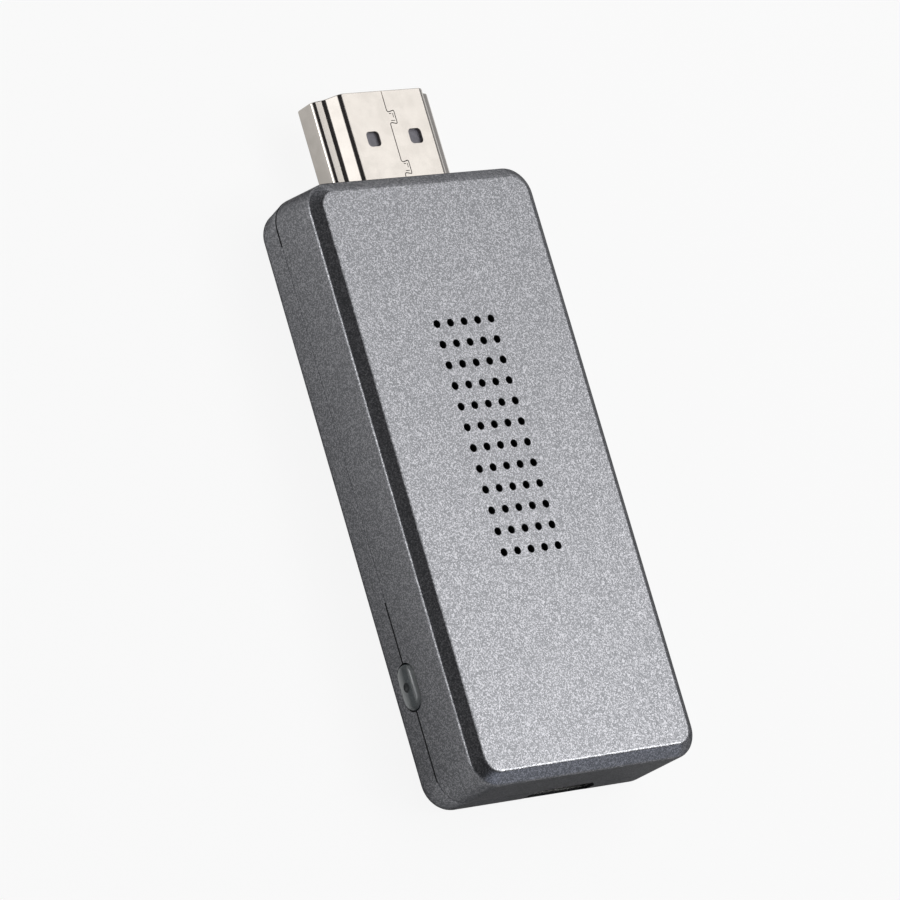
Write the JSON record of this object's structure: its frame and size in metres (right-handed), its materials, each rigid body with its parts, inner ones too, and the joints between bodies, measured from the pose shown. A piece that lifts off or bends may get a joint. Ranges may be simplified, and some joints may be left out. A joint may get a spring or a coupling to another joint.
{
  "type": "wireless display receiver",
  "caption": "Slim plug-in receiver with a grey painted housing, a block of cooling holes, a display plug at one end, a power socket at the other and a clear side button.",
  "frame": {"origin": "centre of the housing's flat base, without the plug", "axes": "+Y points out of the housing towards the display plug, +Z points out of the vented face, -X is the side with the button"},
  "size_m": [0.0268, 0.0673, 0.0092],
  "materials": {
    "painted_shell": "satin metallic grey paint over moulded plastic",
    "smoky_clear": "smoky clear moulding, polished",
    "plated_sheet": "bright nickel plating on rolled sheet",
    "dark_insulator": "moulded, matte",
    "contact_gold": "gold plated, satin",
    "socket_plate": "tin plated, satin",
    "board_green": "glass-fibre board with solder mask",
    "chip_black": "moulded epoxy, matte",
    "thermal_pad": "soft, matte",
    "heat_sink": "extruded, satin",
    "tinned_lead": "tinned, satin",
    "spring_steel": "bright, thin",
    "switch_black": "moulded, matte",
    "plunger_white": "moulded, matte",
    "ferrite": "pressed ferrite, matte",
    "crystal_can": "seam welded can, satin",
    "shield_can": "drawn sheet, satin",
    "aerial_ceramic": "fired ceramic, matte",
    "capacitor_tan": "fired ceramic, matte",
    "resistor_black": "glazed, dark",
    "lamp_lens": "diffusing, glossy"
  },
  "bodies": {
    "housing": {"upper_housing": "painted_shell", "lower_housing": "painted_shell", "switch_spring": "spring_steel", "switch_base": "switch_black", "switch_cover": "tinned_lead", "plug_shell": "plated_sheet", "plug_insulator": "dark_insulator", "plug_upper_contacts": "contact_gold", "plug_lower_contacts": "contact_gold", "power_socket_shell": "socket_plate", "power_socket_insulator": "dark_insulator", "power_socket_contacts": "contact_gold", "main_board": "board_green", "processor": "chip_black", "memory_chip": "chip_black", "thermal_pad": "thermal_pad", "heat_sink": "heat_sink", "flash_chip": "chip_black", "regulators": "chip_black", "chip_leads": "tinned_lead", "inductors": "ferrite", "clock_crystal": "crystal_can", "radio_board": "board_green", "radio_shield": "shield_can", "radio_chip": "chip_black", "chip_antenna": "aerial_ceramic", "protection_arrays": "chip_black", "capacitors": "capacitor_tan", "resistors": "resistor_black", "status_lamp": "lamp_lens"},
    "button": {"side_button": "smoky_clear"},
    "plunger": {"switch_plunger": "plunger_white"}
  },
  "joints": [
    {"name": "button_press", "type": "slide", "parent": "housing", "child": "button", "axis": [1, 0, 0], "range_m": [0, 0.00025], "stiffness_N_per_m": 6400, "springref_m": -0.00005},
    {"name": "plunger_press", "type": "slide", "parent": "housing", "child": "plunger", "axis": [1, 0, 0], "range_m": [0, 0.00025]}
  ],
  "couplings": [
    {"joint": "plunger_press", "follows": "button_press", "ratio": 1}
  ]
}
